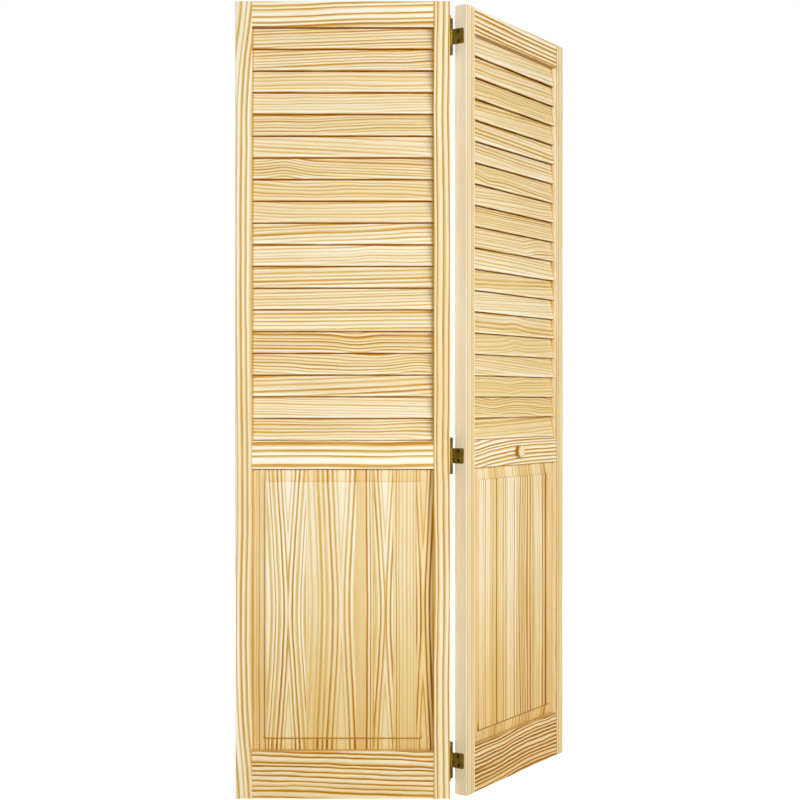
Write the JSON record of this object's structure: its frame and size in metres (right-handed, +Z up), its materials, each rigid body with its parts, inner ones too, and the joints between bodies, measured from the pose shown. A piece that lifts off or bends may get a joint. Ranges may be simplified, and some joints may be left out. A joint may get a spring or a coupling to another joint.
{
  "type": "folding louvred door",
  "caption": "Clear pine folding door, each leaf with fixed louvres over a raised panel, the leaves joined by antique brass hinges, with a turned wooden knob on the travelling leaf.",
  "frame": {"origin": "mouth of the bottom pivot bore, at floor level in the left leaf's outer stile, mid-thickness", "axes": "+Z up along the stiles, +X along the left leaf towards the hinges, -Y out of the left leaf's front; the right leaf is folded back towards +Y"},
  "size_m": [0.8667, 0.4874, 1.981],
  "materials": {
    "frame_pine": "clear, fine sanded",
    "louvre_pine": "clear, fine sanded",
    "panel_pine": "clear, fine sanded",
    "knob_pine": "clear, satin",
    "hinge_brass": "antiqued, satin"
  },
  "bodies": {
    "root": {"left_leaf_outer_stile": "frame_pine", "left_leaf_hinge_stile": "frame_pine", "left_leaf_top_rail": "frame_pine", "left_leaf_middle_rail": "frame_pine", "left_leaf_bottom_rail": "frame_pine", "left_leaf_panel": "panel_pine", "left_leaf_louvres": "louvre_pine", "right_leaf_outer_stile": "frame_pine", "right_leaf_hinge_stile": "frame_pine", "right_leaf_top_rail": "frame_pine", "right_leaf_middle_rail": "frame_pine", "right_leaf_bottom_rail": "frame_pine", "right_leaf_panel": "panel_pine", "right_leaf_louvres": "louvre_pine", "right_leaf_knob": "knob_pine", "top_hinge_left_plate": "hinge_brass", "top_hinge_right_plate": "hinge_brass", "top_hinge_pin": "hinge_brass", "middle_hinge_left_plate": "hinge_brass", "middle_hinge_right_plate": "hinge_brass", "middle_hinge_pin": "hinge_brass", "bottom_hinge_left_plate": "hinge_brass", "bottom_hinge_right_plate": "hinge_brass", "bottom_hinge_pin": "hinge_brass"}
  },
  "joints": []
}
